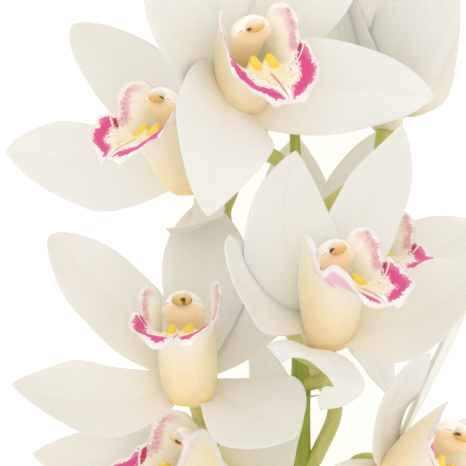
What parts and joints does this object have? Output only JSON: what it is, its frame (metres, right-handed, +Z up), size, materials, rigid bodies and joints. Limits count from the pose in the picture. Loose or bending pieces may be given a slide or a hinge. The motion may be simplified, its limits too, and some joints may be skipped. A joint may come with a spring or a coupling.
{
  "type": "cymbidium orchid stem",
  "caption": "Cut stem of cymbidium orchids, cream-white blooms with pink and magenta lips crowded round a green stalk, lying down.",
  "frame": {"origin": "middle of the lying stem's bounding box, on the surface it lies on", "axes": "+Y along the stem towards its tip, +Z up from the surface, +X to the right"},
  "size_m": [0.1886, 0.5414, 0.116],
  "materials": {
    "tepals": "waxy cream-white sepals and petals, faintly greenish at the heart and tips",
    "lip": "velvety pink lip with a magenta band, a white ruffled margin and yellow keels",
    "column": "waxy cream with faint purple flecks",
    "anther_cap": "waxy amber yellow",
    "stem": "smooth olive green stalk, paler yellow-green pedicels",
    "buds": "waxy pale green-cream"
  },
  "bodies": {
    "root": {"bloom_1_perianth": "tepals", "bloom_1_lip": "lip", "bloom_1_column": "column", "bloom_1_anther_cap": "anther_cap", "bloom_2_perianth": "tepals", "bloom_2_lip": "lip", "bloom_2_column": "column", "bloom_2_anther_cap": "anther_cap", "bloom_3_perianth": "tepals", "bloom_3_lip": "lip", "bloom_3_column": "column", "bloom_3_anther_cap": "anther_cap", "bloom_4_perianth": "tepals", "bloom_4_lip": "lip", "bloom_4_column": "column", "bloom_4_anther_cap": "anther_cap", "bloom_5_perianth": "tepals", "bloom_5_lip": "lip", "bloom_5_column": "column", "bloom_5_anther_cap": "anther_cap", "bloom_6_perianth": "tepals", "bloom_6_lip": "lip", "bloom_6_column": "column", "bloom_6_anther_cap": "anther_cap", "bloom_7_perianth": "tepals", "bloom_7_lip": "lip", "bloom_7_column": "column", "bloom_7_anther_cap": "anther_cap", "bloom_8_perianth": "tepals", "bloom_8_lip": "lip", "bloom_8_column": "column", "bloom_8_anther_cap": "anther_cap", "bloom_9_perianth": "tepals", "bloom_9_lip": "lip", "bloom_9_column": "column", "bloom_9_anther_cap": "anther_cap", "bud_1": "buds", "bud_2": "buds", "stem": "stem"}
  },
  "joints": []
}
